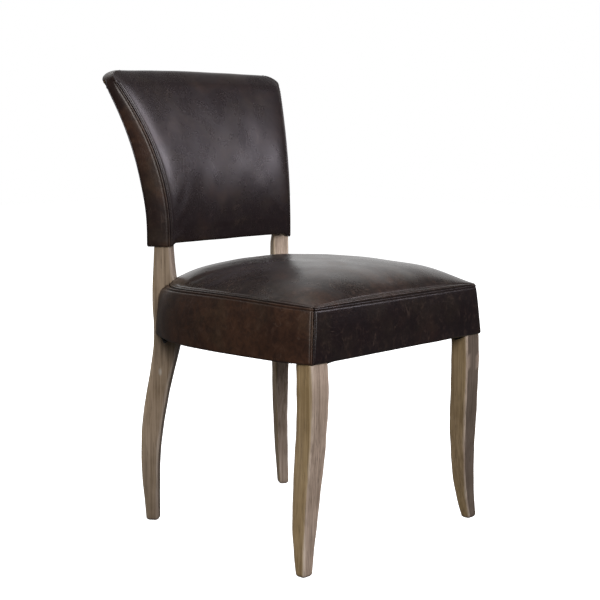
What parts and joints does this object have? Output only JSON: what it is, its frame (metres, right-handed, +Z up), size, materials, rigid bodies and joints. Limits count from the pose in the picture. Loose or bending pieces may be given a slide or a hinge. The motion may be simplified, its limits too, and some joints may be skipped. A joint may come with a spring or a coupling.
{
  "type": "leather side chair",
  "caption": "Armless dining chair with a crowned, boxed leather seat, a flared, leaning leather back rest and weathered wooden legs.",
  "frame": {"origin": "on the floor, in the middle of the chair's outer box seen from above", "axes": "+Z up, -Y the way the chair faces, +X to the sitter's left"},
  "size_m": [0.5128, 0.5512, 0.8635],
  "materials": {
    "weathered_wood": "matte, weathered grey-brown with fine upright grain",
    "frame_wood": "planed, unfinished, hidden",
    "leather": "aged, waxed, semi-gloss",
    "foam": "soft, hidden",
    "webbing": "woven, hidden",
    "dust_cloth": "thin matte black cloth",
    "steel": "zinc plated",
    "aged_brass": "dark, aged"
  },
  "bodies": {
    "root": {"front_leg_right": "weathered_wood", "front_leg_left": "weathered_wood", "rear_leg_right": "weathered_wood", "rear_leg_left": "weathered_wood", "front_rail": "frame_wood", "rear_rail": "frame_wood", "side_rail_right": "frame_wood", "side_rail_left": "frame_wood", "front_corner_block_right": "frame_wood", "front_corner_block_left": "frame_wood", "rear_corner_block_right": "frame_wood", "rear_corner_block_left": "frame_wood", "back_bottom_rail": "frame_wood", "back_top_rail": "frame_wood", "rail_dowels": "frame_wood", "back_rail_dowels": "frame_wood", "corner_bolts": "steel", "dust_cover_staples": "steel", "seat_webbing_lengthwise": "webbing", "seat_webbing_crosswise": "webbing", "back_webbing": "webbing", "seat_foam": "foam", "back_foam": "foam", "seat_top_cover": "leather", "seat_front_cover": "leather", "seat_side_cover_right": "leather", "seat_side_cover_left": "leather", "seat_rear_cover": "leather", "back_front_cover": "leather", "back_rear_cover": "leather", "back_side_cover_right": "leather", "back_side_cover_left": "leather", "dust_cover": "dust_cloth", "nail_heads": "aged_brass"}
  },
  "joints": []
}
